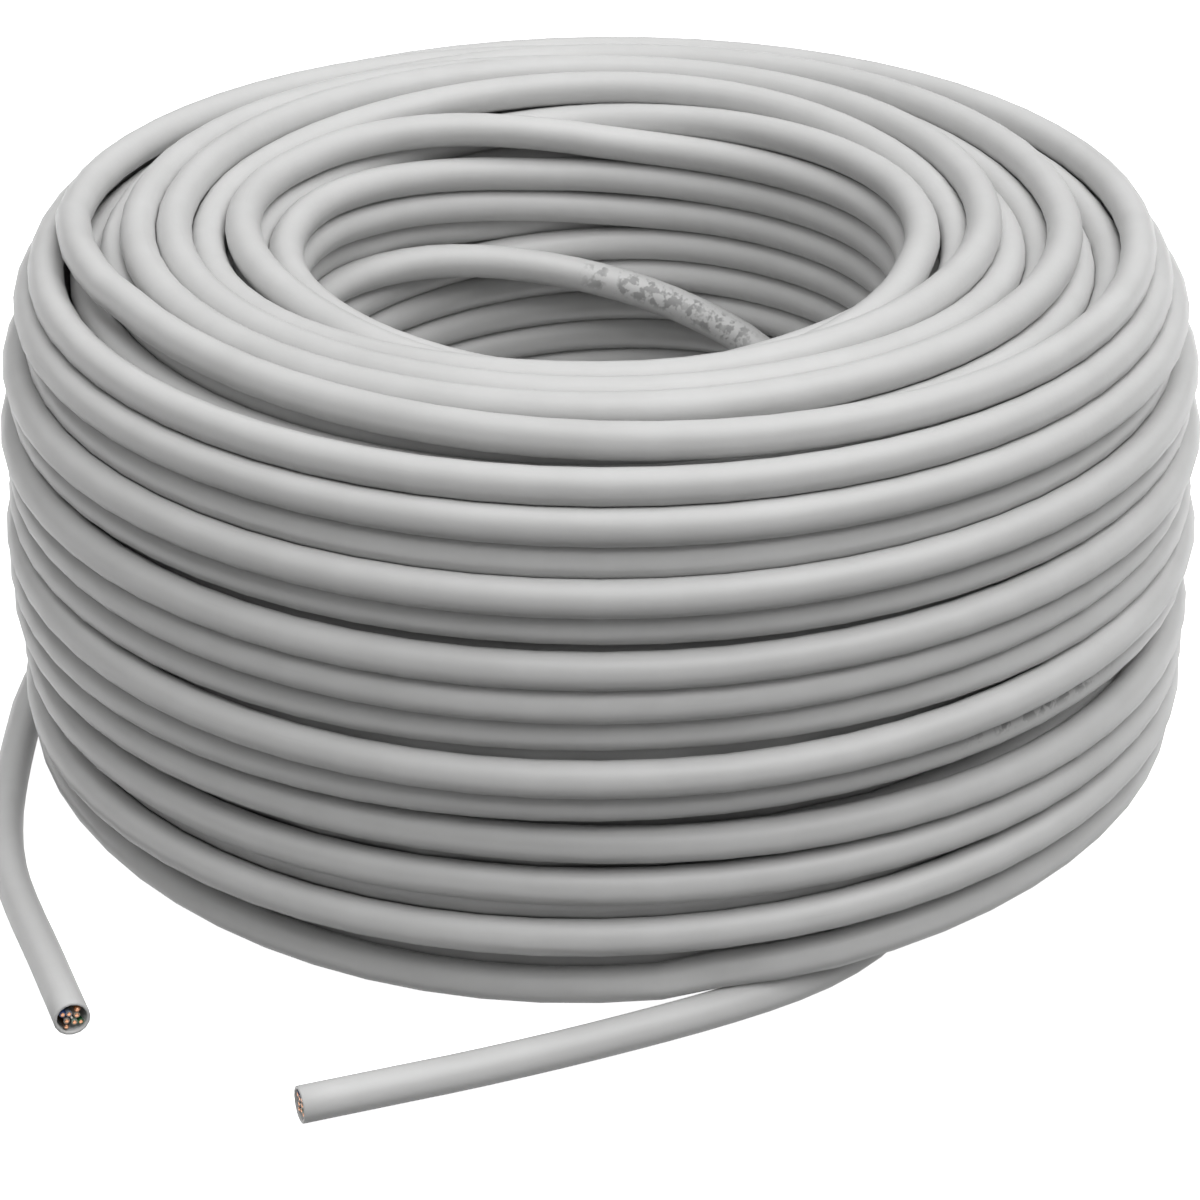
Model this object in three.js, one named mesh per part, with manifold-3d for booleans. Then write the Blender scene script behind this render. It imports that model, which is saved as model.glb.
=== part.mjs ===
// A bare coil of round four-pair network cable that lies flat, with both of its cut ends free.
// Millimetres, +Z up, z = 0 is the surface that the coil lies on.
// The cable runs anticlockwise, seen from above, from its inner end to its outer end.

import * as THREE from 'three';
import { mergeVertices } from 'three/addons/utils/BufferGeometryUtils.js';
import Module from 'manifold-3d';

// Driving dimensions of the cable
const CABLE_D = 5.0;          // outside of the jacket
const JACKET_BORE_D = 4.1;    // inside of the jacket
const WIRE_D = 0.86;          // one insulated wire
const COPPER_D = 0.51;        // its solid copper core, 24 AWG
const RIP_CORD_D = 0.28;      // nylon thread between the pairs
const PAIR_LAY = 15;          // length of one full twist of a pair
const SLIM_GAP = 0.02;        // clearance between the pieces inside the jacket

// Driving dimensions of the coil
const COIL_R = 86;            // outside radius of the winding
const EYE_R = 41.5;           // radius of the open eye
const COIL_H = 85;            // height of the winding
const SECTION_POWER = 2.8;    // superellipse exponent of the winding's rounded outer side
const FOOT_POWER = 3.5;        // of the lower half of that side, where the last turn lies
const EYE_POWER = 12;         // and of its much squarer side towards the eye
const FLATTENED = 1.5;        // how much of the section's crown the flat top and underside take off
const CUT_STRETCH = 12;       // how far back from a cut face the pairs are made as separate pieces
const CUT_RECESS = 0.2;       // the wires end this far inside the jacket's cut edge
const GAP = 0.3;              // clearance where the winding and its loose ends meet

// Fineness of the faceted solids
const RING_STEPS = 56;
const SECTION_POINTS = 26;
const JACKET_SIDES = 12;
const WIRE_SIDES = 8;
const TUBE_STEP = 7;
const WIRE_STEP = 2;
const SAME_POINT = 1e-4;      // vertices nearer than this are one

const CABLE_R = CABLE_D / 2;
const RESTING_Z = CABLE_R;

// The outer end leaves the winding's foot at the left and curves round to its cut face.
// Points are x, y, z from the coil's axis on the floor.
const OUTER_TAIL = [
  [-63.6, 43.6, RESTING_Z], [-70.9, 36.0, RESTING_Z], [-77.4, 27.7, RESTING_Z],
  [-82.0, 19.3, RESTING_Z], [-84.6, 11.0, RESTING_Z], [-85.6, 2.3, RESTING_Z],
  [-85.7, -7.0, RESTING_Z], [-85.6, -16.0, RESTING_Z], [-85.3, -24.5, RESTING_Z],
  [-84.7, -33.0, RESTING_Z], [-83.4, -42.0, RESTING_Z], [-81.4, -50.0, RESTING_Z],
  [-78.5, -58.5, RESTING_Z], [-75.3, -67.0, RESTING_Z], [-72.3, -75.3, RESTING_Z],
  [-69.3, -83.6, RESTING_Z],
];

// The inner end, from its cut face in front: along the floor, under the winding, and up the
// wall of the eye until it joins the innermost turn.
const INNER_LEAD = [
  [-38.2, -103.1, RESTING_Z], [-31.3, -100.6, RESTING_Z], [-24.4, -98.1, RESTING_Z],
  [-18.3, -95.9, RESTING_Z], [-12.4, -93.6, RESTING_Z], [-6.0, -91.0, RESTING_Z],
  [0.2, -88.3, RESTING_Z], [7.0, -85.2, RESTING_Z], [13.4, -82.1, RESTING_Z],
  [19.2, -79.0, RESTING_Z], [24.9, -75.6, RESTING_Z], [31.4, -70.6, RESTING_Z],
  [37.2, -64.2, RESTING_Z], [41.3, -56.7, RESTING_Z], [43.0, -48.5, RESTING_Z],
  [42.6, -40.0, 2.6], [40.8, -31.4, 3.4], [39.0, -21.9, 6.0], [37.3, -12.1, 10.9],
  [38.7, -2.7, 18.8], [38.2, 6.7, 27.3], [35.4, 15.8, 35.6], [30.6, 23.9, 42.6],
  [23.9, 30.6, 47.6], [15.8, 35.4, 50.8], [6.7, 38.2, 53.7], [-2.7, 38.7, 56.3],
  [-12.0, 36.9, 58.8], [-19.7, 34.1, 60.6], [-27.3, 30.3, 61.8], [-34.5, 25.0, 62.3],
  [-40.0, 17.8, 62.5], [-43.3, 7.6, 62.5], [-43.8, -3.8, 62.4], [-41.3, -15.0, 62.3],
];

const wasm = await Module();
wasm.setup();

// The colours of the four pairs: a solid one and its mostly white mate
const PAIRS = [
  { name: 'blue', color: 0x2f5fb3, mate: 0xc9d3e6 },
  { name: 'orange', color: 0xe07a24, mate: 0xf0dcc8 },
  { name: 'green', color: 0x2f9a4c, mate: 0xcfe3d2 },
  { name: 'brown', color: 0x7a4a2b, mate: 0xdfd2c8 },
];

const jacketMaterial = new THREE.MeshStandardMaterial({ color: 0xb2b2b2, roughness: 0.5, metalness: 0 });

function wireMaterial(color) {
  return new THREE.MeshStandardMaterial({ color, roughness: 0.4, metalness: 0 });
}

function copperMaterial() {
  return new THREE.MeshStandardMaterial({ color: 0xc77b52, roughness: 0.3, metalness: 1 });
}

function vector([x, y, z]) {
  return new THREE.Vector3(x, y, z);
}

function polygon(diameter, sides) {
  const points = [];
  for (let i = 0; i < sides; i += 1) {
    const angle = (i + 0.5) * 2 * Math.PI / sides;
    points.push(new THREE.Vector2(Math.cos(angle), Math.sin(angle)).multiplyScalar(diameter / 2));
  }
  return points;
}

function tube(curve, diameter, sides, steps, boreDiameter = 0) {
  const shape = new THREE.Shape(polygon(diameter, sides));
  if (boreDiameter > 0) shape.holes.push(new THREE.Path(polygon(boreDiameter, sides)));
  return new THREE.ExtrudeGeometry(shape, { steps, extrudePath: curve, bevelEnabled: false });
}

function toSolid(geometry) {
  const bare = geometry.clone();
  bare.deleteAttribute('normal');
  bare.deleteAttribute('uv');
  const merged = mergeVertices(bare, SAME_POINT);
  return new wasm.Manifold(new wasm.Mesh({
    numProp: 3,
    vertProperties: new Float32Array(merged.attributes.position.array),
    triVerts: new Uint32Array(merged.index.array),
  }));
}

function toGeometry(solid) {
  const mesh = solid.getMesh();
  const geometry = new THREE.BufferGeometry();
  geometry.setAttribute('position', new THREE.BufferAttribute(mesh.vertProperties, 3));
  geometry.setIndex(new THREE.BufferAttribute(mesh.triVerts, 1));
  geometry.computeVertexNormals();
  return geometry;
}

function named(name, geometry, material) {
  const mesh = new THREE.Mesh(geometry, material);
  mesh.name = name;
  return mesh;
}

// The winding's section: a superellipse that is rounder outside than towards the eye, cut flat
// where it rests and where it was pressed on top
function windingSection() {
  const middleR = (COIL_R + EYE_R) / 2;
  const halfWidth = (COIL_R - EYE_R) / 2;
  const halfHeight = COIL_H / 2 + FLATTENED;
  const points = [];
  for (let i = 0; i < SECTION_POINTS; i += 1) {
    const angle = i * 2 * Math.PI / SECTION_POINTS;
    const across = Math.cos(angle);
    const upward = Math.sin(angle);
    const outerPower = upward < 0 ? FOOT_POWER : SECTION_POWER;
    const power = across < 0 ? EYE_POWER : outerPower;
    const r = middleR + halfWidth * Math.sign(across) * Math.abs(across) ** (2 / power);
    const z = halfHeight * Math.sign(upward) * Math.abs(upward) ** (2 / power);
    const flatZ = THREE.MathUtils.clamp(z, -COIL_H / 2, COIL_H / 2);
    points.push(new THREE.Vector2(r, COIL_H / 2 + flatZ));
  }
  points.push(points[0].clone());
  return points;
}

function routeCurve(route) {
  return new THREE.CatmullRomCurve3(route.map(vector));
}

// The same route, carried on a little past the end that is buried in the winding
function clearanceSolid(route) {
  const points = route.map(vector);
  const last = points[points.length - 1];
  const before = points[points.length - 2];
  const onward = last.clone().sub(before).setLength(GAP);
  points.push(last.clone().add(onward));
  const curve = new THREE.CatmullRomCurve3(points);
  const steps = Math.ceil(curve.getLength() / TUBE_STEP);
  return toSolid(tube(curve, CABLE_D + 2 * GAP, JACKET_SIDES, steps));
}

function makeWinding() {
  const ring = new THREE.LatheGeometry(windingSection(), RING_STEPS).rotateX(Math.PI / 2);
  const winding = toSolid(ring)
    .subtract(clearanceSolid(INNER_LEAD))
    .subtract(clearanceSolid([...OUTER_TAIL].reverse()));
  return named('coil_winding', toGeometry(winding), jacketMaterial.clone());
}

// A frame at a cut face: its origin lies in the face and its axis points back into the cable
function cutFrame(face, behind) {
  const origin = vector(face);
  const axis = vector(behind).sub(origin).normalize();
  const up = new THREE.Vector3(0, 0, 1);
  const side = new THREE.Vector3().crossVectors(up, axis).normalize();
  return { origin, axis, side, up: new THREE.Vector3().crossVectors(axis, side) };
}

function pointInCut(frame, across, upward, depth) {
  return frame.origin.clone()
    .addScaledVector(frame.side, across)
    .addScaledVector(frame.up, upward)
    .addScaledVector(frame.axis, depth);
}

function makeJacket(name, route, frame) {
  const curve = routeCurve(route);
  const steps = Math.ceil(curve.getLength() / TUBE_STEP);
  const bore = new THREE.LineCurve3(
    pointInCut(frame, 0, 0, -GAP),
    pointInCut(frame, 0, 0, CUT_STRETCH + GAP),
  );
  const jacket = toSolid(tube(curve, CABLE_D, JACKET_SIDES, steps))
    .subtract(toSolid(tube(bore, JACKET_BORE_D, JACKET_SIDES, 1)));
  return named(name, toGeometry(jacket), jacketMaterial.clone());
}

// One wire of a twisted pair, a helix about the pair's own axis
class TwistedWire extends THREE.Curve {
  constructor(frame, pairX, pairY, phase) {
    super();
    this.frame = frame;
    this.pairX = pairX;
    this.pairY = pairY;
    this.phase = phase;
  }

  getPoint(t, target = new THREE.Vector3()) {
    const depth = CUT_RECESS + t * (CUT_STRETCH - CUT_RECESS);
    const turn = this.phase + 2 * Math.PI * depth / PAIR_LAY;
    const reach = (WIRE_D + SLIM_GAP) / 2;
    const across = this.pairX + reach * Math.cos(turn);
    const upward = this.pairY + reach * Math.sin(turn);
    return target.copy(pointInCut(this.frame, across, upward, depth));
  }
}

// Neighbouring pairs are a quarter turn apart in their twist, so that they nest in the jacket
function makePairs(end, frame) {
  const reach = (WIRE_D + SLIM_GAP) / 2;
  const pairSpacing = reach * Math.SQRT2 + WIRE_D + SLIM_GAP;
  const steps = Math.ceil(CUT_STRETCH / WIRE_STEP);
  const pieces = [];
  PAIRS.forEach((pair, index) => {
    const place = Math.PI / 4 + index * Math.PI / 2;
    const pairX = pairSpacing / Math.SQRT2 * Math.cos(place);
    const pairY = pairSpacing / Math.SQRT2 * Math.sin(place);
    for (const isMate of [false, true]) {
      const phase = index * Math.PI / 2 + (isMate ? Math.PI : 0);
      const wire = new TwistedWire(frame, pairX, pairY, phase);
      const name = `${end}_${pair.name}${isMate ? '_white' : ''}`;
      const color = isMate ? pair.mate : pair.color;
      const insulation = tube(wire, WIRE_D, WIRE_SIDES, steps, COPPER_D + 2 * SLIM_GAP);
      const core = tube(wire, COPPER_D, WIRE_SIDES, steps);
      pieces.push(named(`${name}_insulation`, insulation, wireMaterial(color)));
      pieces.push(named(`${name}_core`, core, copperMaterial()));
    }
  });
  return pieces;
}

function makeRipCord(end, frame) {
  const line = new THREE.LineCurve3(
    pointInCut(frame, 0, 0, CUT_RECESS),
    pointInCut(frame, 0, 0, CUT_STRETCH),
  );
  const material = new THREE.MeshStandardMaterial({ color: 0xe9e6dd, roughness: 0.8, metalness: 0 });
  return named(`${end}_rip_cord`, tube(line, RIP_CORD_D, WIRE_SIDES, 1), material);
}

function makeLooseEnd(end, jacketName, route, face, behind) {
  const frame = cutFrame(face, behind);
  return [makeJacket(jacketName, route, frame), ...makePairs(end, frame), makeRipCord(end, frame)];
}

const coil = new THREE.Group();
coil.add(makeWinding());
coil.add(...makeLooseEnd('inner_end', 'inner_lead_jacket', INNER_LEAD, INNER_LEAD[0], INNER_LEAD[1]));
const outerFace = OUTER_TAIL[OUTER_TAIL.length - 1];
const outerBehind = OUTER_TAIL[OUTER_TAIL.length - 2];
coil.add(...makeLooseEnd('outer_end', 'outer_tail_jacket', OUTER_TAIL, outerFace, outerBehind));

// The part's origin is the middle of its footprint, on the floor
const cable = new THREE.Group();
cable.add(coil);
const middle = new THREE.Box3().setFromObject(cable, true).getCenter(new THREE.Vector3());
coil.position.set(-middle.x, -middle.y, 0);

export default cable;
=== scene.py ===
"""The looks of a bare coil of grey network cable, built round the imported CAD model.

Metres, +Z up, z = 0 is the floor. The whole cable is one mesh tube along one centreline: the
inner end's lead, about 127 turns that are packed against each other by a small relaxation, and
the outer end's tail. The wires at both cut faces are separate pieces."""

import math

import bpy
import numpy as np
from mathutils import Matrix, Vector


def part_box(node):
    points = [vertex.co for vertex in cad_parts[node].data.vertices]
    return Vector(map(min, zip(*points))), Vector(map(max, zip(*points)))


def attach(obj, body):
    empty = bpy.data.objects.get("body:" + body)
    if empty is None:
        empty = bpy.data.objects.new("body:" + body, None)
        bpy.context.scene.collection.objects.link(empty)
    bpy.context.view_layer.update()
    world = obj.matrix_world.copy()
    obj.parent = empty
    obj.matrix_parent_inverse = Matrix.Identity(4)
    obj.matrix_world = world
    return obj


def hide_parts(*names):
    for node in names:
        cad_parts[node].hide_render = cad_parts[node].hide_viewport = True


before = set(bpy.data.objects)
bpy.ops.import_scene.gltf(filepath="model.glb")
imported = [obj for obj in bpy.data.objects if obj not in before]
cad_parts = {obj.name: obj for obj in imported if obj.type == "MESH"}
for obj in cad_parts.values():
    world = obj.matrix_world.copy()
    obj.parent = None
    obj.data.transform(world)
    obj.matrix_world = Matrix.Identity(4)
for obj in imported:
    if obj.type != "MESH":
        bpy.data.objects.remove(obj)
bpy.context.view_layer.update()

MM = 0.001

# Driving dimensions of the cable, as in the CAD model
CABLE_D = 0.005
CABLE_R = CABLE_D / 2
JACKET_BORE_R = 0.00205
WIRE_D = 0.00086
COPPER_D = 0.00051
RIP_CORD_D = 0.00028
PAIR_LAY = 0.015
SLIM_GAP = 0.00002
CUT_STRETCH = 0.012                  # how far in the wires are modelled
CUT_RECESS = 0.0002                  # how far the wires' ends lie inside the cut face
CUT_EDGE = 0.00012                   # how far the jacket's cut edges are rounded
COPPER_PROUD = 0.00006               # the cutter leaves the copper this much longer
LIP_RADIUS, LIP_SET_BACK = 0.93, 0.04  # a wire's rounded end, as shares of its radius and first step
WIRE_SIDES = 12
WIRE_STEPS = 13

# The four pairs: the colour of each solid wire and of its mostly white mate, both painted about half as
# bright as the real wires, which is painted shade that makes the cut faces look dark
PAIRS = {
    "blue": ((0.02, 0.05, 0.18), (0.26, 0.29, 0.36)),
    "orange": ((0.32, 0.11, 0.02), (0.37, 0.31, 0.25)),
    "green": ((0.02, 0.12, 0.04), (0.27, 0.34, 0.28)),
    "brown": ((0.07, 0.035, 0.02), (0.31, 0.27, 0.24)),
}

# The jacket's looks. Noise scales are per metre, and those with three values go along and round
# the cable.
PVC_DARK, PVC_LIGHT = (0.555, 0.555, 0.551), (0.605, 0.605, 0.602)
PVC_IOR, PVC_SPECULAR = 1.46, 0.42
SMOOTHEST, ROUGHEST, SMUDGE_ROUGHNESS = 0.37, 0.47, 0.07
MOTTLE_SCALE, SMUDGE_SCALE, PEEL_SCALE = 75, 21, 1400
SCUFF_SCALE, DENT_SCALE = (70, 2400, 0), (45, 90, 0)
INK_SCALE, INK_ROW_SCALE = (620, 560, 0), (240, 0, 0)
SMUDGE_SHADE, SCUFF_SHADE = 0.955, 0.955   # what smudges and scuffs leave of the jacket's grey
INK_SHADE = 0.55                     # and what the worn ink leaves of it
FELT_TWIST = 0.045                   # the pairs' common twist, felt through the jacket
FELT_MM, PEEL_MM, SOFT_DENTS_MM = 0.035, 0.012, 0.10
# Printed stretches: middle and half length in metres along the jacket's mesh, and the direction
# that they face round it, in degrees
PRINTS = [(0.2165, 0.012, 142), (47.29, 0.0105, 46)]
PRINT_HALF_TURN = 0.11               # half the print's width, as a share of the way round
PRINT_FADE = 0.004
STRIPS = 54                          # strips that the jacket's surface is mapped in
STRIP_MARGIN, STRIP_END_MARGIN = 0.05, 0.002   # as shares of a strip's width and of the map

# The coil, from the frame
ring_low, ring_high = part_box("coil_winding")
AXIS = Vector(((ring_low.x + ring_high.x) / 2, (ring_low.y + ring_high.y) / 2, 0))
COIL_R = (ring_high.x - ring_low.x) / 2
COIL_H = ring_high.z
EYE_R = 0.0415
SECTION_POWER = 2.8                  # how square the coil's section is on its outer side
FOOT_POWER = 4.5                     # on the lower half of that side
EYE_POWER = 12                       # and on the side of the eye
FLATTENED = 0.0015                   # the top and the underside are pressed flat by this much

# How the winding is laid up: turns in each layer from the eye outwards. The first layer starts
# at FIRST_TOP, and above SLIP_FROM the layers after it lie one place further in.
LAYER_TURNS = (12, 15, 15, 16, 15, 15, 13, 10)
WALL_LAYERS = 2                      # the first ones are the eye's wall
SPIRAL_LAYERS = 3                    # the first ones climb evenly all the way round
FIRST_TOP = 0.0620
FIRST_INSET = 0.0004                 # how far into the section the first layer's height is taken
SLIP_FROM = 0.0615
RIM_LAYER = 1                        # the rim is laid after this layer, on top of it and the next
RIM_AT, RIM_FOOT = (0.0470, 0.0824), 0.0778   # its radius and height, and the layers' top under it
# Each turn of the last layer from the top down: its height in front, and how far it is sunk
# between its neighbours, in millimetres. The sector after it holds its steps, in degrees.
LAST_LAYER = [
    (80.8, 0), (77.2, 0.6), (73.5, 0), (69.2, 1.8), (64.8, 0), (60.0, 1.8), (55.1, 0),
    (50.0, 1.2), (45.0, 0.4), (39.6, 0), (33.8, 0.5), (27.8, 0.3), (21.2, 1.3), (14.0, 1.4),
    (9.5, 1.5), (2.7, 0.2),
]
LAST_STEPS_FROM, LAST_STEPS_TO = -30, 190
DOWN_FROM, DOWN_TO = 200, 240        # where the last turn comes down to the floor

STATIONS = 64                        # centreline points round one turn
STATION_ANGLE = 2 * math.pi / STATIONS
TUBE_SIDES = 16
DEEP = 0.75                          # turns further in than this share of the section need fewer rings
FINE_SPACING, FREE_SPACING = 0.001, 0.005   # of a route's points: to measure by, and in the mesh
ROUTE_STEPS = 24                     # points between two points of a listed route

# How unevenly the turns are laid
SEED = 8
STEP_WIDTHS, STEP_MIDDLES = (0.75, 1), (0.3, 0.7)   # of the steps between places, in turns
WANDER_EVERY = STATIONS // 5
WANDER_IN_RADIUS, WANDER_IN_HEIGHT = 0.0009, 0.0011
CALM, LIVELY = 0.45, 0.8             # the eye's wall and the last layer wander less than the rest
SWELL = 0.0006                       # how much wider or higher the section is in places
SWELL_WAVES = (1, 2, 3)              # round the coil

# How they are packed. The rates are shares of a whole correction, made in every round.
ROUNDS, QUICK_ROUNDS = 360, 120
SEARCH_EVERY = 12                    # rounds between two searches for neighbours
NEIGHBOURS = 1.45 * CABLE_D          # turns nearer than this are watched
FAR_AWAY = 10                        # where a row without a point at a station is put, in metres
PULL, PULL_FADES = 0.03, 1.5         # towards the laid place, and the power that it fades out with
HELD = 0.3                           # how firmly the eye's wall and the last turn's end stay there
HELD_END = STATIONS // 3             # points of that end
TIGHTENING, SAG = 0.000012, 0.000004   # inwards beneath the last layer, and downwards
STIFFNESS, BEND_REACHES = 0.055, (3, 2, 1, 1)
OPENING_RATE, PUSHING_RATE = 0.6, 0.8
SECTION_RATE = 0.7                   # as the power of how far out of the section a turn is
PASSES, LAST_PASSES, LAST_FROM = 3, 5, 0.8   # contact passes in a round, and more of them at last
LIFTED_UNDER = 2.1 * CABLE_D         # a turn lower than this may lie on the lead under it

# Where neighbouring turns stand apart: angle and half width in degrees, then radius, height and
# opening in millimetres. The last one is the wide dip over the front of the eye's rim.
GAPS = [
    (180, 28, 69.8, 83.0, 4.4), (210, 26, 74.5, 81.0, 2.8),
    (195, 28, 54.0, 83.5, 3.0), (146, 18, 51.0, 83.5, 2.0),
    (166, 36, 46.4, 82.0, 3.0),
    (8, 34, 62.4, 83.5, 2.4), (-12, 18, 48.5, 82.5, 1.8),
    (266, 30, 83.5, 57.6, 2.4), (276, 26, 83.5, 42.3, 2.0),
    (266, 32, 83.3, 30.8, 2.6), (318, 36, 83.3, 31.0, 3.4),
    (256, 30, 82.9, 24.6, 2.6), (262, 24, 81.8, 17.7, 2.4), (252, 30, 81.0, 8.8, 3.8),
    (270, 157, 37.1, 105.0, 55.0),
]

# The last layer bridges a hollow in front, from which the layers beneath it are set back
HOLLOW_ANGLE, HOLLOW_REACH = math.radians(268), math.radians(75)
HOLLOW_HEIGHT, HOLLOW_HALF_HEIGHT = 0.032, 0.034
HOLLOW_DEPTH = 0.11                  # as a share of the section

# Where the lead gives way to the winding, and the winding to the tail, in degrees round the axis,
# and an angle that each of these routes passes
LEAD_FROM, LEAD_TO, LEAD_PASSES = -16, 198, 90
TAIL_FROM, TAIL_TO, TAIL_PASSES = 137, 181, 165
LEAD_RUN_UP = 7                      # degrees of the lead's route that are needed before LEAD_FROM
LEAD_EASES, TAIL_EASES = 0.3, 0.15   # turns in which the winding eases into them
# The stretch of the lead that turns lie on: outside a radius, below a height and behind a y
UNDER_RADIUS, UNDER_HEIGHT, UNDER_BEHIND = 0.040, 0.006, -0.087

RESTING = 2.5
# The two free stretches, x, y and z in millimetres from the coil's axis, as in the CAD model but
# for the tail's first point, which is inside the winding
OUTER_TAIL = [
    (-54.2, 54.2, 2.9), (-63.6, 43.6, RESTING), (-70.9, 36.0, RESTING), (-77.4, 27.7, RESTING),
    (-82.0, 19.3, RESTING), (-84.6, 11.0, RESTING), (-85.6, 2.3, RESTING),
    (-85.7, -7.0, RESTING), (-85.6, -16.0, RESTING), (-85.3, -24.5, RESTING),
    (-84.7, -33.0, RESTING), (-83.4, -42.0, RESTING), (-81.4, -50.0, RESTING),
    (-78.5, -58.5, RESTING), (-75.3, -67.0, RESTING), (-72.3, -75.3, RESTING),
    (-69.3, -83.6, RESTING),
]
INNER_LEAD = [
    (-38.2, -103.1, RESTING), (-31.3, -100.6, RESTING), (-24.4, -98.1, RESTING),
    (-18.3, -95.9, RESTING), (-12.4, -93.6, RESTING), (-6.0, -91.0, RESTING),
    (0.2, -88.3, RESTING), (7.0, -85.2, RESTING), (13.4, -82.1, RESTING),
    (19.2, -79.0, RESTING), (24.9, -75.6, RESTING), (31.4, -70.6, RESTING),
    (37.2, -64.2, RESTING), (41.3, -56.7, RESTING), (43.0, -48.5, RESTING),
    (42.6, -40.0, 2.6), (40.8, -31.4, 3.4), (39.0, -21.9, 6.0), (37.3, -12.1, 10.9),
    (38.7, -2.7, 18.8), (38.2, 6.7, 27.3), (35.4, 15.8, 35.6), (30.6, 23.9, 42.6),
    (23.9, 30.6, 47.6), (15.8, 35.4, 50.8), (6.7, 38.2, 53.7), (-2.7, 38.7, 56.3),
    (-12.0, 36.9, 58.8), (-19.7, 34.1, 60.6), (-27.3, 30.3, 61.8), (-34.5, 25.0, 62.3),
    (-40.0, 17.8, 62.5), (-43.3, 7.6, 62.5), (-43.8, -3.8, 62.4), (-41.3, -15.0, 62.3),
]


# ---------------------------------------------------------------- camera

CAMERA_ELEVATION = math.radians(25.8)
CAMERA_DISTANCE = 6.72 * COIL_R      # from the middle of the coil
CAMERA_LENS = 119.3
CAMERA_DROP = math.radians(1.91)     # the view is centred this much below the coil's middle


def make_camera():
    middle = AXIS + Vector((0, 0, COIL_H / 2))
    back = Vector((0, -math.cos(CAMERA_ELEVATION), math.sin(CAMERA_ELEVATION)))
    data = bpy.data.cameras.new("camera")
    data.lens = CAMERA_LENS
    data.sensor_width = 36
    data.clip_start = 0.01
    data.clip_end = 20
    camera = bpy.data.objects.new("camera", data)
    camera.location = middle + back * CAMERA_DISTANCE
    tilt = math.pi / 2 - CAMERA_ELEVATION - CAMERA_DROP
    camera.rotation_euler = (tilt, 0, 0)
    bpy.context.scene.collection.objects.link(camera)
    bpy.context.scene.camera = camera


# ---------------------------------------------------------------- the centreline

def smoothstep(t):
    t = np.clip(t, 0, 1)
    return t * t * (3 - 2 * t)


def cubic_between(a, b, c, d, t):
    """Catmull-Rom between b and c."""
    return 0.5 * (2 * b + (c - a) * t + (2 * a - 5 * b + 4 * c - d) * t**2
                  + (3 * b - 3 * c + d - a) * t**3)


def route(points, spacing):
    """An even, smooth walk along a given route, in metres from the coil's axis."""
    p = np.array(points) * MM
    p = np.vstack([2 * p[0] - p[1], p, 2 * p[-1] - p[-2]])
    t = np.linspace(0, 1, ROUTE_STEPS, endpoint=False)[:, None]
    parts = [cubic_between(*p[i - 1:i + 3], t) for i in range(1, len(p) - 2)]
    fine = np.vstack([*parts, p[-2:-1]])
    along = np.concatenate([[0], np.cumsum(np.linalg.norm(np.diff(fine, axis=0), axis=1))])
    places = np.linspace(0, along[-1], max(2, round(along[-1] / spacing) + 1))
    return np.stack([np.interp(places, along, fine[:, k]) for k in range(3)], 1)


def wander(rng, count, every, size):
    """Smooth random values for count stations, with a new one every so many stations."""
    values = rng.normal(0, size, count // every + 4)
    place = np.arange(count) / every + 1
    i = place.astype(int)
    return cubic_between(values[i - 1], values[i], values[i + 1], values[i + 2], place - i)


def polar(points, near):
    """Angle, radius and height of a route, with its angles counted on from near."""
    angle = np.unwrap(np.arctan2(points[:, 1], points[:, 0]))
    nearest = np.argmin(np.abs((angle - near + math.pi) % (2 * math.pi) - math.pi))
    angle -= 2 * math.pi * round((angle[nearest] - near) / (2 * math.pi))
    return angle, np.hypot(points[:, 0], points[:, 1]), points[:, 2]


# The region that the turns' centres lie in
MIDDLE_R = (COIL_R + EYE_R) / 2
MIDDLE_H = COIL_H / 2
HALF_WIDTH = (COIL_R - EYE_R) / 2 - CABLE_R
HALF_HEIGHT = COIL_H / 2 + FLATTENED - CABLE_R


def beyond_section(at):
    """How many times further out than the edge of the coil's section each point lies."""
    across = (at[:, 0] - MIDDLE_R) / HALF_WIDTH
    upward = (at[:, 1] - MIDDLE_H) / HALF_HEIGHT
    outer = np.where(upward < 0, FOOT_POWER, SECTION_POWER)
    power = np.where(across < 0, EYE_POWER, outer)
    return (np.abs(across)**power + np.abs(upward)**power)**(1 / power)


def edge_height(radius):
    """How far above and below the middle the turns beneath the last layer reach at a radius."""
    across = (radius - MIDDLE_R) / HALF_WIDTH
    power = EYE_POWER if across < 0 else SECTION_POWER
    reach = HALF_HEIGHT * (1 - abs(across)**power)**(1 / power)
    return min(reach, MIDDLE_H - CABLE_R)


def turn_slots():
    """Radius and height of each turn in the order of winding, and its layer."""
    pitch = 2 * HALF_WIDTH / len(LAYER_TURNS)
    innermost = MIDDLE_R - HALF_WIDTH
    places, layers = [], []
    for layer, turns in enumerate(LAYER_TURNS):
        reach = edge_height(innermost + max(pitch * layer, FIRST_INSET))
        top = (FIRST_TOP, RIM_FOOT, RIM_FOOT, MIDDLE_H + reach)[min(layer, 3)]
        heights = np.linspace(MIDDLE_H - reach, top, turns)
        for z in heights[::-1] if layer % 2 == 0 else heights:
            slip = smoothstep((z - SLIP_FROM) / CABLE_D) if layer else 0
            places.append((innermost + pitch * (layer - slip), z))
            layers.append(layer)
        if layer == RIM_LAYER:
            places.append(RIM_AT)
            layers.append(layer)
    for height, sunk in LAST_LAYER:
        upward = abs(height * MM - MIDDLE_H) / HALF_HEIGHT
        power = SECTION_POWER if height * MM > MIDDLE_H else FOOT_POWER
        across = (1 - upward**power)**(1 / power)
        places.append((MIDDLE_R + HALF_WIDTH * across - sunk * MM, height * MM))
        layers.append(len(LAYER_TURNS))
    return np.array(places), np.array(layers)


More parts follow.
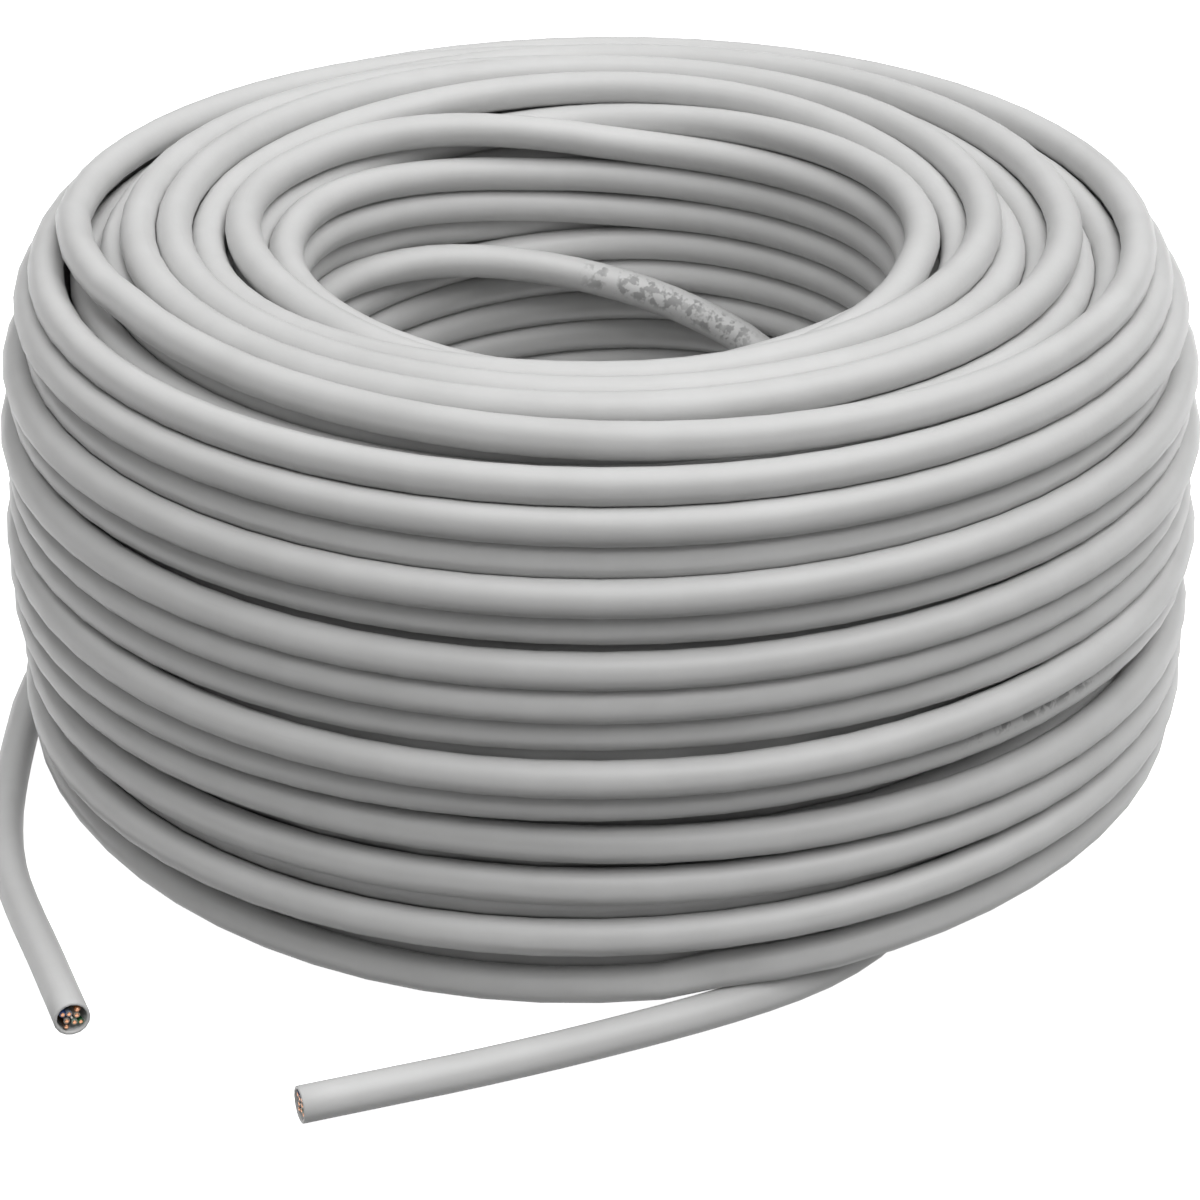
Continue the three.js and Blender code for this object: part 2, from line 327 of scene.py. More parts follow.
def sector(begin, end):
    """Width and middle of a sector, in turns from where each turn begins."""
    return (end - begin) / 360, ((end + begin) / 2 - LEAD_TO) / 360 % 1


def step_share(rng, along, layer, last_turn):
    """How far each point has stepped from its turn's place towards the next one's."""
    widths = rng.uniform(*STEP_WIDTHS, len(LAYER_TURNS) + 1)
    middles = rng.uniform(*STEP_MIDDLES, len(LAYER_TURNS) + 1)
    widths[-1], middles[-1] = sector(LAST_STEPS_FROM, LAST_STEPS_TO)
    width, middle = widths[layer], middles[layer]
    width[last_turn], middle[last_turn] = sector(DOWN_FROM, DOWN_TO)
    middle = np.clip(middle, width / 2, 1 - width / 2)
    stepped = smoothstep((along - middle + width / 2) / width)
    return np.where(layer < SPIRAL_LAYERS, along, stepped)


def swell(rng, laid, angles):
    """The section is a little wider or higher in some directions than in others."""
    sizes = rng.normal(0, SWELL, (4, len(SWELL_WAVES) + 1))   # its columns are counted from wave 0
    across = (laid[:, 0] - MIDDLE_R) / HALF_WIDTH
    upward = (laid[:, 1] - MIDDLE_H) / HALF_HEIGHT
    for wave in SWELL_WAVES:
        cosine, sine = np.cos(wave * angles), np.sin(wave * angles)
        laid[:, 0] += (sizes[0, wave] * cosine + sizes[1, wave] * sine) * across
        laid[:, 1] += (sizes[2, wave] * cosine + sizes[3, wave] * sine) * upward


def first_layout(rng, count, angles):
    """Radius and height along the winding before it is packed, and the layer of each point."""
    places, layers = turn_slots()
    turn = np.arange(count) / STATIONS
    now = turn.astype(int)
    layer = layers[now]
    share = step_share(rng, turn - now, layer, now == len(places) - 2)[:, None]
    laid = places[now] * (1 - share) + places[now + 1] * share
    calm = np.where((layer < WALL_LAYERS) | (layer == len(LAYER_TURNS)), CALM, LIVELY)
    laid[:, 0] += calm * wander(rng, count, WANDER_EVERY, WANDER_IN_RADIUS)
    laid[:, 1] += calm * wander(rng, count, WANDER_EVERY, WANDER_IN_HEIGHT)
    swell(rng, laid, angles)
    return laid, layer


def hollow(angles, heights):
    """How far the layers beneath the last one are set back, as a share of the section."""
    off = (angles - HOLLOW_ANGLE + math.pi) % (2 * math.pi) - math.pi
    along = np.cos(np.clip(off / HOLLOW_REACH, -1, 1) * math.pi / 2)
    up = np.clip((heights - HOLLOW_HEIGHT) / HOLLOW_HALF_HEIGHT, -1, 1)
    return HOLLOW_DEPTH * np.sqrt(along * np.cos(up * math.pi / 2))


class Winding:
    """The chain of centreline points that lie round the axis: the lead in the eye, the turns and
    the start of the tail. A point is a radius and a height at its station's angle."""

    def __init__(self):
        self.lead = route(INNER_LEAD, FINE_SPACING)
        start, end = self.count_stations()
        self.lay_lead(start)
        self.lay_turns(start, end)
        self.lay_tail(end)
        self.ease_in(start, end)
        self.target = self.at.copy()
        self.make_columns()
        self.find_gaps()

    def count_stations(self):
        """Where each point stands round the axis. The points from start to end are free."""
        first = math.ceil(math.radians(LEAD_FROM) / STATION_ANGLE)
        joins = math.floor(math.radians(LEAD_TO) / STATION_ANGLE)
        leaves = math.ceil(math.radians(TAIL_FROM) / STATION_ANGLE)
        last = math.floor(math.radians(TAIL_TO) / STATION_ANGLE)
        turns = sum(LAYER_TURNS) + len(LAST_LAYER)
        start = joins - first
        end = start + (turns - 1) * STATIONS + (leaves - joins) % STATIONS
        self.station = first + np.arange(end + last - leaves + 1)
        self.angle = self.station * STATION_ANGLE
        self.free = np.zeros(len(self.station))
        self.free[start:end] = 1
        self.at = np.zeros((len(self.station), 2))
        return start, end

    def lay_lead(self, start):
        """The lead's points in the eye lie on its route."""
        angle, radius, height = polar(self.lead, math.radians(LEAD_PASSES))
        inside = slice(np.argmax(angle > math.radians(LEAD_FROM - LEAD_RUN_UP)), None)
        self.at[:start, 0] = np.interp(self.angle[:start], angle[inside], radius[inside])
        self.at[:start, 1] = np.interp(self.angle[:start], angle[inside], height[inside])

    def lay_turns(self, start, end):
        """The free points get their places, and it is noted which of them are held there."""
        rng = np.random.default_rng(SEED)
        layer = np.full(len(self.at), -1)
        self.at[start:end], layer[start:end] = first_layout(rng, end - start, self.angle[start:end])
        self.beneath = (layer >= 0) & (layer < len(LAYER_TURNS))
        self.held = (layer >= 0) & (layer < WALL_LAYERS)
        self.held[end - HELD_END:end] = True

    def lay_tail(self, end):
        """The tail's points next to the winding lie on its route."""
        angle, radius, height = polar(route(OUTER_TAIL, FINE_SPACING), math.radians(TAIL_PASSES))
        here = self.angle[end:]
        here = here - 2 * math.pi * round((here[0] - math.radians(TAIL_FROM)) / (2 * math.pi))
        self.at[end:, 0] = np.interp(here, angle, radius)
        self.at[end:, 1] = np.interp(here, angle, height)

    def ease_in(self, start, end):
        """The first turn grows out of the lead, and the last one goes over into the tail."""
        count = int(LEAD_EASES * STATIONS)
        share = smoothstep(np.linspace(1, 0, count))[:, None]
        stretch = slice(start, start + count)
        self.at[stretch] = self.at[stretch] * (1 - share) + self.at[start - 1] * share
        count = int(TAIL_EASES * STATIONS)
        share = smoothstep(np.linspace(0, 1, count))[:, None]
        stretch = slice(end - count, end)
        self.at[stretch] = self.at[stretch] * (1 - share) + self.at[end] * share

    def make_columns(self):
        """Which points share a station, so that their discs lie in one plane."""
        column = self.station % STATIONS
        row = (self.station - self.station[0] + column[0]) // STATIONS
        self.columns = np.full((STATIONS, row.max() + 1), -1)
        self.columns[column, row] = np.arange(len(self.station))

    def find_gaps(self):
        """The points along each gap's sector, and how wide it is open at each of them."""
        self.gaps = []
        for angle, reach, radius, height, opening in GAPS:
            off = (np.degrees(self.angle) - angle + 180) % 360 - 180
            here = np.nonzero((np.abs(off) < reach) & (self.free > 0))[0]
            clear = CABLE_R + opening * MM / 2 * np.cos(off[here] / reach * math.pi / 2)
            self.gaps.append((here, np.array((radius, height)) * MM, clear))

    def open_gaps(self):
        """Turns that lie in a gap are moved out of it."""
        for here, middle, clear in self.gaps:
            away = self.at[here] - middle
            apart = np.sqrt((away**2).sum(1)) + 1e-12
            self.at[here] += OPENING_RATE * away * (np.maximum(clear - apart, 0) / apart)[:, None]

    def find_neighbours(self):
        """The pairs of points at one station that are near each other."""
        rows = self.columns.shape[1]
        place = np.zeros((*self.columns.shape, 2))
        place[:, :, 0] = FAR_AWAY + np.arange(rows)
        there = self.columns >= 0
        place[there] = self.at[self.columns[there]]
        apart = ((place[:, :, None] - place[:, None, :])**2).sum(3)
        ordered = np.arange(rows)[:, None] < np.arange(rows)
        station, a, b = np.nonzero((apart < NEIGHBOURS**2) & ordered)
        self.a, self.b = self.columns[station, a], self.columns[station, b]

    def bend(self):
        """The cable resists a sharp bend, over long and over short stretches."""
        for n in BEND_REACHES:
            p = self.at
            fourth = p[:-4 * n] - 4 * p[n:-3 * n] + 6 * p[2 * n:-2 * n] - 4 * p[3 * n:-n] + p[4 * n:]
            p[2 * n:-2 * n] -= STIFFNESS * fourth * self.free[2 * n:-2 * n, None]

    def push_apart(self):
        """Turns that lie nearer than a diameter are moved apart."""
        gap = self.at[self.b] - self.at[self.a]
        apart = np.sqrt((gap**2).sum(1)) + 1e-12
        free_a, free_b = self.free[self.a], self.free[self.b]
        share = PUSHING_RATE * np.maximum(CABLE_D - apart, 0) / np.maximum(free_a + free_b, 1) / apart
        count = len(self.at)
        for k in (0, 1):
            move = gap[:, k] * share
            self.at[:, k] += np.bincount(self.b, move * free_b, count)
            self.at[:, k] -= np.bincount(self.a, move * free_a, count)

    def keep_in_section(self):
        """Turns outside the coil's section, the hollow or the floor are moved back."""
        free = self.free > 0
        set_back = np.where(self.beneath, hollow(self.angle, self.at[:, 1]), 0)
        beyond = np.where(free, beyond_section(self.at) / (1 - set_back), 0)
        out = beyond > 1
        middle = np.array((MIDDLE_R, MIDDLE_H))
        self.at[out] = middle + (self.at[out] - middle) / beyond[out, None]**SECTION_RATE
        self.at[free, 1] = np.clip(self.at[free, 1], CABLE_R, COIL_H - CABLE_R)

    def lift_off(self, under):
        """The lowest turns lie over the lead's stretch that runs under them."""
        low = np.nonzero((self.free > 0) & (self.at[:, 1] < LIFTED_UNDER))[0]
        x = self.at[low, 0] * np.cos(self.angle[low])
        y = self.at[low, 0] * np.sin(self.angle[low])
        aside = np.hypot(x[:, None] - under[:, 0], y[:, None] - under[:, 1]).min(1)
        over = CABLE_R + np.sqrt(np.maximum(CABLE_D**2 - aside**2, 0))
        lifted = np.where(aside < CABLE_D, over, 0)
        self.at[low, 1] = np.maximum(self.at[low, 1], lifted)

    def lead_under_turns(self):
        """The lead's stretch that runs under the winding."""
        x, y, height = self.lead.T
        return self.lead[(np.hypot(x, y) > UNDER_RADIUS) & (height < UNDER_HEIGHT) & (y > UNDER_BEHIND)]

    def pack(self, rounds):
        """Settles the turns against each other."""
        under = self.lead_under_turns()
        free = self.free > 0
        for i in range(rounds):
            if i % SEARCH_EVERY == 0:
                self.find_neighbours()
            settled = i / rounds
            pull = PULL * np.maximum((1 - settled)**PULL_FADES, HELD * self.held[free, None])
            self.at[free] += pull * (self.target[free] - self.at[free])
            self.at[self.beneath, 0] -= TIGHTENING
            self.at[free, 1] -= SAG
            self.bend()
            for _ in range(PASSES if settled < LAST_FROM else LAST_PASSES):
                self.open_gaps()
                self.push_apart()
                self.keep_in_section()
                self.lift_off(under)

    def centreline(self):
        """The points in metres from the coil's axis."""
        x = self.at[:, 0] * np.cos(self.angle)
        y = self.at[:, 0] * np.sin(self.angle)
        return np.stack([x, y, self.at[:, 1]], 1)


def whole_centreline():
    """The cable's centreline from cut face to cut face: lead, winding and tail."""
    winding = Winding()
    winding.pack(ROUNDS)
    lead = route(INNER_LEAD, FREE_SPACING)
    angle = polar(lead, math.radians(LEAD_PASSES))[0]
    lead = lead[:np.argmax(angle > winding.angle[0]) - 1]
    tail = route(OUTER_TAIL, FREE_SPACING)
    angle = polar(tail, math.radians(TAIL_PASSES))[0]
    tail = tail[np.argmax(angle > math.radians(TAIL_TO)) + 1:]
    return np.vstack([lead, winding.centreline(), tail]) + np.array(AXIS)


# ---------------------------------------------------------------- meshes

def new_object(name, vertices, faces):
    mesh = bpy.data.meshes.new(name)
    mesh.from_pydata([tuple(v) for v in vertices], [], [tuple(f) for f in faces])
    mesh.polygons.foreach_set("use_smooth", [True] * len(mesh.polygons))
    mesh.update()
    made = bpy.data.objects.new(name, mesh)
    bpy.context.scene.collection.objects.link(made)
    return made


def ring_frames(line):
    """Sideways and upward directions at each point of a centreline."""
    ahead = np.gradient(line, axis=0)
    ahead /= np.linalg.norm(ahead, axis=1)[:, None]
    side = np.cross(ahead, (0, 0, 1))
    side /= np.linalg.norm(side, axis=1)[:, None]
    return side, np.cross(side, ahead)


def rings_round(points, side, upward, radii, sides):
    turn = np.arange(sides) * 2 * math.pi / sides
    around = side[:, None] * np.cos(turn)[:, None] + upward[:, None] * np.sin(turn)[:, None]
    return points[:, None] + np.broadcast_to(radii, len(points))[:, None, None] * around


def tube_object(name, rings, joined=False):
    """A tube through rings of vertices: closed at both ends, or with its last ring joined on to
    its first, which makes a sleeve."""
    count, sides = rings.shape[:2]
    first = np.arange(count - (0 if joined else 1))[:, None] * sides
    then = (first + sides) % (count * sides)
    i = np.arange(sides)
    j = (i + 1) % sides
    quads = np.stack([first + i, then + i, then + j, first + j], 2)
    faces = [list(q) for q in quads.reshape(-1, 4)]
    if not joined:
        faces.append(list(range(sides)))
        faces.append(list(range((count - 1) * sides, count * sides))[::-1])
    return new_object(name, rings.reshape(-1, 3), faces)


def cut_end(face, inward):
    """Centres and radii of the rings that fold the jacket in to its bore, from the bore's end
    outwards, and how far each one is from the cut face."""
    steps = [(CUT_STRETCH, JACKET_BORE_R), (CUT_EDGE, JACKET_BORE_R), (0, JACKET_BORE_R + CUT_EDGE),
             (0, CABLE_R - CUT_EDGE), (CUT_EDGE, CABLE_R)]
    depths = np.array([depth for depth, _ in steps])
    return face + depths[:, None] * inward, np.array([r for _, r in steps]), depths


def rings_worth_having(line):
    """Every ring of what can be seen, and every other one deep in the winding."""
    at = line - np.array(AXIS)
    section = np.stack([np.hypot(at[:, 0], at[:, 1]), at[:, 2]], 1)
    deep = beyond_section(section) < DEEP
    return ~deep | (np.arange(len(line)) % 2 == 0)


def make_jacket(line):
    """One closed tube from cut face to cut face, with a bore at each end."""
    length = np.concatenate([[0], np.cumsum(np.linalg.norm(np.diff(line, axis=0), axis=1))])
    side, upward = ring_frames(line)
    start, start_r, start_depth = cut_end(line[0], (line[1] - line[0]) / length[1])
    into = (line[-2] - line[-1]) / (length[-1] - length[-2])
    end, end_r, end_depth = cut_end(line[-1], into)
    ends = len(start)
    points = np.vstack([start, line[1:-1], end[::-1]])
    radii = np.concatenate([start_r, np.full(len(line) - 2, CABLE_R), end_r[::-1]])
    along = np.concatenate([start_depth, length[1:-1], length[-1] - end_depth[::-1]])
    index = np.concatenate([np.zeros(ends, int), np.arange(1, len(line) - 1),
                            np.full(ends, len(line) - 1)])
    rings = rings_round(points, side[index], upward[index], radii, TUBE_SIDES)
    cable = tube_object("cable_jacket", rings)
    mark_places(cable.data, along)
    lay_out_strips(cable.data, len(points))
    return cable


def mark_places(mesh, along):
    """For the material: how far along and round the cable each face corner is, in metres, and
    whether it is printed."""
    here, i = np.meshgrid(np.arange(len(along) - 1), np.arange(TUBE_SIDES), indexing="ij")
    ring = np.stack([here, here + 1, here + 1, here], 2)
    column = np.stack([i, i, i + 1, i + 1], 2)
    round_m = column * 2 * math.pi * CABLE_R / TUBE_SIDES
    along_m = along[ring]
    printed = np.zeros(along_m.shape)
    for middle, half, direction in PRINTS:
        off = (column / TUBE_SIDES - direction / 360 + 0.5) % 1 - 0.5
        reach = 1 - smoothstep((np.abs(along_m - middle) - half) / PRINT_FADE)
        printed = np.maximum(printed, reach * (np.abs(off) < PRINT_HALF_TURN))
    values = np.zeros((len(mesh.loops), 3))
    values[:along_m.size] = np.stack([along_m, round_m, printed], 3).reshape(-1, 3)
    places = mesh.attributes.new("cable_place", "FLOAT_VECTOR", "CORNER")
    places.data.foreach_set("vector", values.ravel())


def lay_out_strips(mesh, ring_count):
    """A map of the jacket's surface: even strips side by side, each a stretch of the cable."""
    here = np.arange(ring_count - 1)
    per_strip = math.ceil(len(here) / STRIPS)
    strip, row = here // per_strip, here % per_strip
    width, height = 1 - 2 * STRIP_MARGIN, 1 - 2 * STRIP_END_MARGIN
    across = width * np.arange(TUBE_SIDES) / TUBE_SIDES
    left = (strip[:, None] + across + STRIP_MARGIN) / STRIPS
    right = left + width / TUBE_SIDES / STRIPS
    low = np.broadcast_to((STRIP_END_MARGIN + height * row / per_strip)[:, None], left.shape)
    high = low + height / per_strip
    corners = np.stack([np.stack([left, low], 2), np.stack([left, high], 2),
                        np.stack([right, high], 2), np.stack([right, low], 2)], 2)
    values = np.full((len(mesh.loops), 2), STRIP_END_MARGIN / 2)
    values[:corners.size // 2] = corners.reshape(-1, 2)
    spread = mesh.uv_layers.new(name="OFBake")
    spread.data.foreach_set("uv", values.ravel())


class CutFace:
    """A cut end of the cable, with places in it measured across, upwards and inwards."""

    def __init__(self, face, behind):
        self.face = face
        self.axis = (behind - face) / np.linalg.norm(behind - face)
        self.side = np.cross((0, 0, 1), self.axis)
        self.side /= np.linalg.norm(self.side)
        self.upward = np.cross(self.axis, self.side)

    def place(self, across, upward, depth):
        across, upward, depth = np.broadcast_arrays(across, upward, depth)
        return (self.face + across[:, None] * self.side + upward[:, None] * self.upward
                + depth[:, None] * self.axis)

    def rod(self, path, radius):
        """Rings along a wire; path gives its place across and upwards at each depth."""
        depth = np.linspace(CUT_RECESS, CUT_STRETCH, WIRE_STEPS)
        centres = self.place(*path(depth), depth)
        side = np.broadcast_to(self.side, centres.shape)
        upward = np.broadcast_to(self.upward, centres.shape)
        return rings_round(centres, side, upward, radius, WIRE_SIDES)


def pair_wire(index, is_mate):
    """Where one wire of a pair runs: the pairs lie in a square, each twisted about itself."""
    reach = (WIRE_D + SLIM_GAP) / 2
    spacing = reach * math.sqrt(2) + WIRE_D + SLIM_GAP
    corner = math.pi / 4 + index * math.pi / 2
    middle = spacing / math.sqrt(2) * np.array((math.cos(corner), math.sin(corner)))
    phase = index * math.pi / 2 + (math.pi if is_mate else 0)

    def path(depth):
        turn = phase + 2 * math.pi * depth / PAIR_LAY
        return middle[0] + reach * np.cos(turn), middle[1] + reach * np.sin(turn)
    return path


def straight_in(depth):
    """Where the rip cord runs: in the middle of the cable."""
    return 0, 0


def sleeve(name, rings, bore_share):
    """A tube with a wall: the outside one way, then the bore back, its edges a little rounded."""
    middle = rings.mean(1, keepdims=True)
    outside = rings.copy()
    lip = middle[:1] + (outside[:1] - middle[:1]) * LIP_RADIUS
    outside[0] += (outside[1] - outside[0]) * LIP_SET_BACK
    bore = middle + (rings - middle) * bore_share
    return tube_object(name, np.vstack([lip, outside, bore[::-1]]), joined=True)


def join(name, objects):
    vertices, faces = [], []
    for made in objects:
        first = len(vertices)
        vertices += [tuple(v.co) for v in made.data.vertices]
        faces += [[first + i for i in f.vertices] for f in made.data.polygons]
        bpy.data.objects.remove(made)
    return new_object(name, vertices, faces)


def make_wires(end, cut):
    """The wires at one cut end: eight insulations, their copper as one piece, and the rip cord."""
    bore_share = (COPPER_D + SLIM_GAP) / WIRE_D
    made, cores, core_nodes = [], [], []
    for index, pair in enumerate(PAIRS):
        for is_mate in (False, True):
            colour = f"{pair}_white" if is_mate else pair
            path = pair_wire(index, is_mate)
            wire = sleeve(f"{end}_wire_{colour}", cut.rod(path, WIRE_D / 2), bore_share)
            finish(wire, f"insulation_{colour}", [f"{end}_{colour}_insulation"])
            made.append(wire)
            core = cut.rod(path, COPPER_D / 2)
            core[0] -= cut.axis * COPPER_PROUD
            cores.append(tube_object("core", core))
            core_nodes.append(f"{end}_{colour}_core")
    copper = join(f"{end}_copper", cores)
    finish(copper, "copper", core_nodes)
    cord = tube_object(f"{end}_rip_thread", cut.rod(straight_in, RIP_CORD_D / 2))
    finish(cord, "rip_cord", [f"{end}_rip_cord"])
    return [*made, copper, cord]


def finish(piece, slot, nodes):
    """Every piece rides on the one body, replaces its CAD nodes and wears its slot's material."""
    piece.data.materials.append(MATERIALS[slot])
    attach(piece, "root")
    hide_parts(*nodes)


# ---------------------------------------------------------------- materials

class Shader:
    """A material's node tree, built from the input end to the shader."""

    def __init__(self, name):
        self.material = bpy.data.materials.new(name)
        self.material.use_nodes = True
        self.tree = self.material.node_tree
        self.principled = self.tree.nodes["Principled BSDF"]

    def put(self, value, socket):
        if isinstance(value, bpy.types.NodeSocket):
            self.tree.links.new(value, socket)
        else:
            socket.default_value = value

    def add(self, kind, inputs=(), **settings):
        node = self.tree.nodes.new(kind)
        for setting, value in settings.items():
            setattr(node, setting, value)
        for key, value in dict(inputs).items():
            self.put(value, node.inputs[key])
        return node

    def math(self, operation, *values):
        node = self.add("ShaderNodeMath", enumerate(values), operation=operation)
        return node.outputs[0]

    def noise(self, vector, scale, detail=3, roughness=0.5):
        inputs = {"Vector": vector, "Scale": scale, "Detail": detail, "Roughness": roughness}
        return self.add("ShaderNodeTexNoise", inputs).outputs["Fac"]

    def ranged(self, value, low, high, to_low, to_high):
        inputs = {"Value": value, "From Min": low, "From Max": high,
                  "To Min": to_low, "To Max": to_high}
        return self.add("ShaderNodeMapRange", inputs).outputs["Result"]

    def ramp(self, value, *stops):
        node = self.add("ShaderNodeValToRGB", {"Fac": value})
        for element, (position, colour) in zip(node.color_ramp.elements, stops):
            element.position = position
            element.color = (*colour, 1)
        return node.outputs["Color"]

    def stretched(self, vector, scale):
        return self.add("ShaderNodeVectorMath", {0: vector, 1: scale}, operation="MULTIPLY").outputs[0]

    def shaded(self, colour, value):
        """The colour made darker by a grey value."""
        node = self.add("ShaderNodeVectorMath", {0: colour, "Scale": value}, operation="SCALE")
        return node.outputs[0]

    def bump(self, height_mm):
        inputs = {"Height": height_mm, "Distance": MM, "Strength": 1.0}
        self.put(self.add("ShaderNodeBump", inputs).outputs["Normal"],
                 self.principled.inputs["Normal"])

    def wear(self, colour, roughness, **uniform):
        self.put(colour, self.principled.inputs["Base Color"])
        self.put(roughness, self.principled.inputs["Roughness"])
        for name, value in uniform.items():
            self.principled.inputs[name.replace("_", " ")].default_value = value
        return self.material


def jacket_material():
    """Satin grey PVC: mottled, a little scuffed lengthways and smudged by handling, with the
    twist of the pairs just felt through it and faint worn marks where it was printed."""
    s = Shader("grey_pvc")
    at = s.add("ShaderNodeTexCoord").outputs["Object"]
    place = s.add("ShaderNodeAttribute", attribute_name="cable_place").outputs["Vector"]
    split = s.add("ShaderNodeSeparateXYZ", {0: place}).outputs
    along, around, printed = split["X"], split["Y"], split["Z"]
    mottle = s.noise(at, MOTTLE_SCALE, 5, 0.62)
    smudge = s.ranged(s.noise(at, SMUDGE_SCALE, 4, 0.6), 0.52, 0.72, 0, 1)
    scuff = s.noise(s.stretched(place, SCUFF_SCALE), 1, 3)
    base = s.ramp(mottle, (0.28, PVC_DARK), (0.72, PVC_LIGHT))
    worn = s.math("MULTIPLY", s.ranged(smudge, 0, 1, 1, SMUDGE_SHADE),
                  s.ranged(scuff, 0.62, 0.8, 1, SCUFF_SHADE))
    blots = s.noise(s.stretched(place, INK_SCALE), 1, 2, 0.7)
    rows = s.noise(s.stretched(place, INK_ROW_SCALE), 1, 1)
    ink = s.math("MULTIPLY", s.ranged(blots, 0.47, 0.56, 0, 1), s.ranged(rows, 0.36, 0.46, 0, 1))
    ink = s.math("MULTIPLY", ink, printed)
    colour = s.shaded(s.shaded(base, worn), s.ranged(ink, 0, 1, 1, INK_SHADE))
    roughness = s.math("ADD", s.ranged(mottle, 0.3, 0.7, SMOOTHEST, ROUGHEST),
                       s.ranged(smudge, 0, 1, 0, SMUDGE_ROUGHNESS))
    peel = s.noise(at, PEEL_SCALE, 2)
    felt = s.math("SINE", s.math("ADD", s.math("MULTIPLY", along, 2 * math.pi / FELT_TWIST),
                                 s.math("DIVIDE", around, CABLE_R)))
    soft = s.noise(s.stretched(place, DENT_SCALE), 1, 2)
    height = s.math("ADD", s.math("MULTIPLY", felt, FELT_MM), s.math("MULTIPLY", peel, PEEL_MM))
    s.bump(s.math("ADD", height, s.math("MULTIPLY", soft, SOFT_DENTS_MM)))
    return s.wear(colour, roughness, IOR=PVC_IOR, Specular_IOR_Level=PVC_SPECULAR)


def insulation_material(name, colour):
    """Drawn polyethylene: glossy, a little uneven, with the dust of the cut on it."""
    s = Shader(name)
    at = s.add("ShaderNodeTexCoord").outputs["Object"]
    dust = s.ranged(s.noise(at, 2600, 3), 0.5, 0.75, 1, 0.8)
    dark = tuple(0.82 * c for c in colour)
    base = s.ramp(s.noise(at, 900, 3), (0.3, dark), (0.7, colour))
    s.bump(s.math("MULTIPLY", s.noise(at, 4000, 2), 0.02))
    return s.wear(s.shaded(base, dust), s.ranged(s.noise(at, 1500, 2), 0.3, 0.7, 0.28, 0.44))


def copper_material():
    """Freshly snipped copper, with the shear marks of the cutter."""
    s = Shader("bare_copper")
    at = s.add("ShaderNodeTexCoord").outputs["Object"]
    shear = s.noise(s.stretched(at, (9000, 1500, 9000)), 1, 3)
    base = s.ramp(shear, (0.3, (0.52, 0.25, 0.14)), (0.7, (0.78, 0.42, 0.26)))
    s.bump(s.math("MULTIPLY", shear, 0.03))
    return s.wear(base, s.ranged(shear, 0.3, 0.7, 0.24, 0.42), Metallic=1.0)


def thread_material():
    """Off-white nylon thread with its fibres."""
    s = Shader("nylon_thread")
    at = s.add("ShaderNodeTexCoord").outputs["Object"]
    fibres = s.noise(s.stretched(at, (1500, 1500, 12000)), 1, 4)
    base = s.ramp(fibres, (0.3, (0.62, 0.60, 0.54)), (0.7, (0.84, 0.82, 0.76)))
    s.bump(s.math("MULTIPLY", fibres, 0.04))
    return s.wear(base, s.ranged(fibres, 0.3, 0.7, 0.6, 0.85))


def make_materials():
    made = {"cable_jacket": jacket_material(), "copper": copper_material(),
            "rip_cord": thread_material()}
    for pair, (solid, mate) in PAIRS.items():
        made[f"insulation_{pair}"] = insulation_material(f"{pair}_polyethylene", solid)
        made[f"insulation_{pair}_white"] = insulation_material(f"{pair}_white_polyethylene", mate)
    return made


# ---------------------------------------------------------------- stage

LIGHT_ABOVE, LIGHT_BELOW = 0.66, 0.02
DARK_UP_TO, BRIGHT_FROM = 0.49, 0.80   # on the way from straight below, 0, to straight above, 1
LAMP_FROM, LAMP_SPREAD, LAMP_STRENGTH = (0.30, -0.24, 1.0), 60, 2.1
FLOOR_REACH = 3
FLOOR_GREYS = (0.945, 0.955)
FLOOR_ROUGHNESS = 0.9
FLOOR_GLOW = 1.00                    # washes the shadows on the floor out


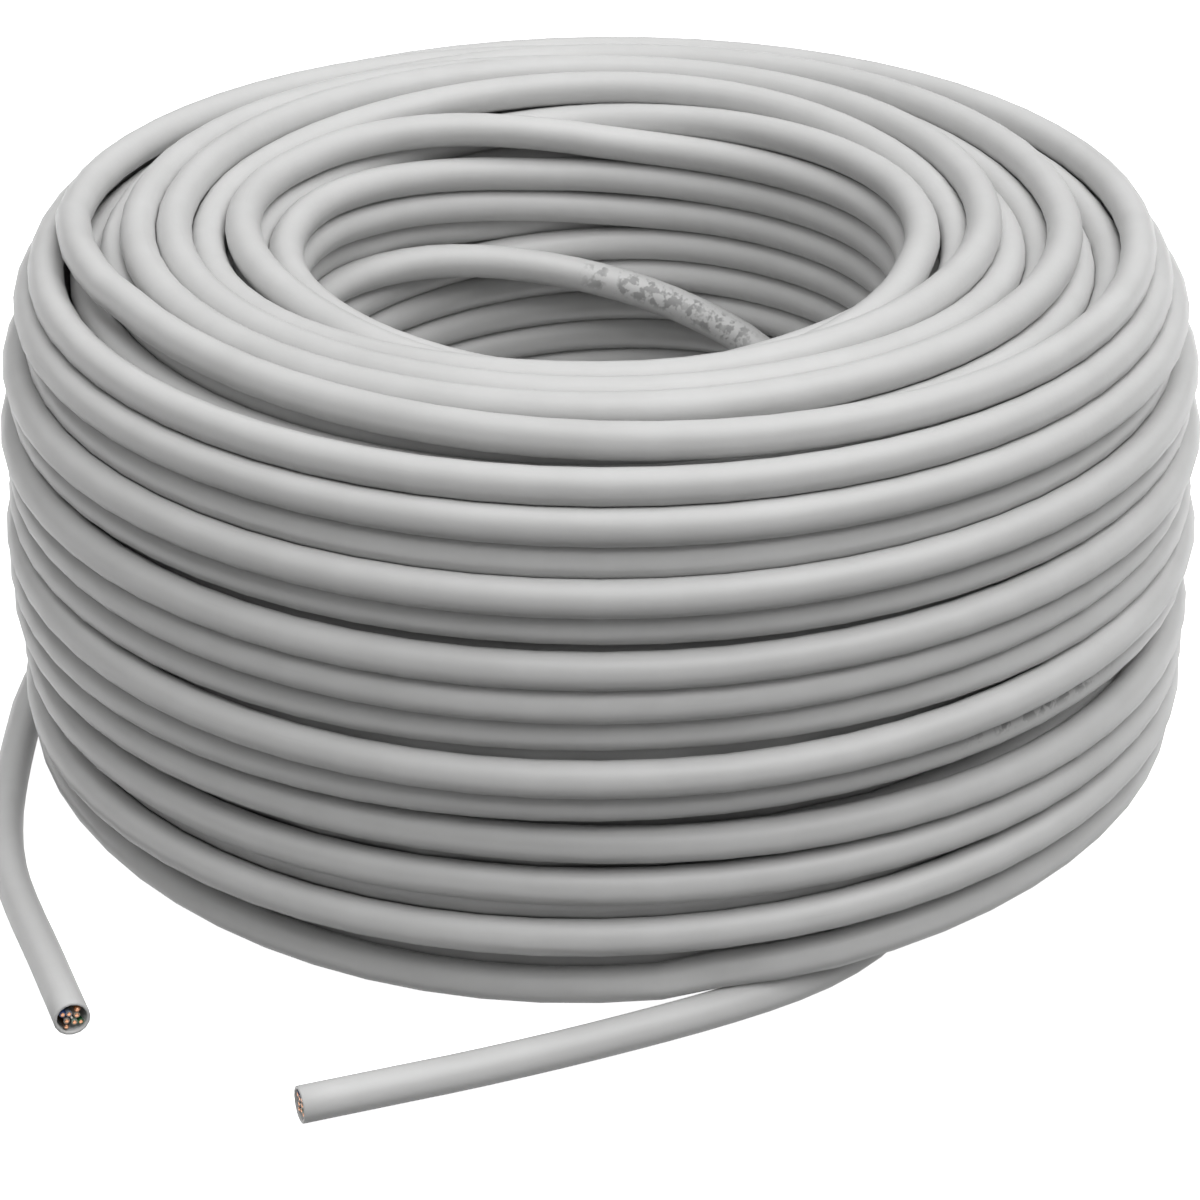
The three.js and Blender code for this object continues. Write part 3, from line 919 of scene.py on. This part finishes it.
def make_world():
    """Even white light, strong from above and weak from below."""
    world = bpy.data.worlds.new("studio")
    world.use_nodes = True
    tree = world.node_tree
    coordinates = tree.nodes.new("ShaderNodeTexCoord")
    split = tree.nodes.new("ShaderNodeSeparateXYZ")
    tree.links.new(coordinates.outputs["Generated"], split.inputs["Vector"])
    height = tree.nodes.new("ShaderNodeMapRange")
    height.inputs["From Min"].default_value = -1
    height.inputs["From Max"].default_value = 1
    tree.links.new(split.outputs["Z"], height.inputs["Value"])
    ramp = tree.nodes.new("ShaderNodeValToRGB")
    ramp.color_ramp.elements[0].position = DARK_UP_TO
    ramp.color_ramp.elements[0].color = (*[LIGHT_BELOW] * 3, 1)
    ramp.color_ramp.elements[1].position = BRIGHT_FROM
    ramp.color_ramp.elements[1].color = (*[LIGHT_ABOVE] * 3, 1)
    tree.links.new(height.outputs["Result"], ramp.inputs["Fac"])
    tree.links.new(ramp.outputs["Color"], tree.nodes["Background"].inputs["Color"])
    bpy.context.scene.world = world


def make_stage():
    """A white floor that throws no light back up, as in a cut-out product picture."""
    corners = [(FLOOR_REACH * x, FLOOR_REACH * y, 0) for x, y in ((-1, -1), (1, -1), (1, 1), (-1, 1))]
    floor = new_object("floor", corners, [(0, 1, 2, 3)])
    paper = Shader("white_paper")
    grain = paper.noise(paper.add("ShaderNodeTexCoord").outputs["Object"], 300, 2)
    dark, light = [(grey,) * 3 for grey in FLOOR_GREYS]
    white = paper.ramp(grain, (0.3, dark), (0.7, light))
    glow = {"Emission_Color": (1, 1, 1, 1), "Emission_Strength": FLOOR_GLOW}
    floor.data.materials.append(paper.wear(white, FLOOR_ROUGHNESS, **glow))
    floor.visible_diffuse = False
    bpy.context.scene.view_settings.view_transform = "Standard"


def broad_light(name, place, spread, strength):
    """A wide, even light from that direction."""
    data = bpy.data.lights.new(name, "SUN")
    data.angle = math.radians(spread)
    data.energy = strength
    lamp = bpy.data.objects.new(name, data)
    lamp.location = place
    lamp.rotation_euler = (-Vector(place)).to_track_quat("-Z", "Y").to_euler()
    bpy.context.scene.collection.objects.link(lamp)


make_camera()
line = whole_centreline()
MATERIALS = make_materials()
cable = make_jacket(line[rings_worth_having(line)])
finish(cable, "cable_jacket", ["coil_winding", "inner_lead_jacket", "outer_tail_jacket"])
wires = make_wires("inner_end", CutFace(line[0], line[1]))
wires += make_wires("outer_end", CutFace(line[-1], line[-2]))
make_stage()
make_world()
broad_light("overhead", LAMP_FROM, LAMP_SPREAD, LAMP_STRENGTH)
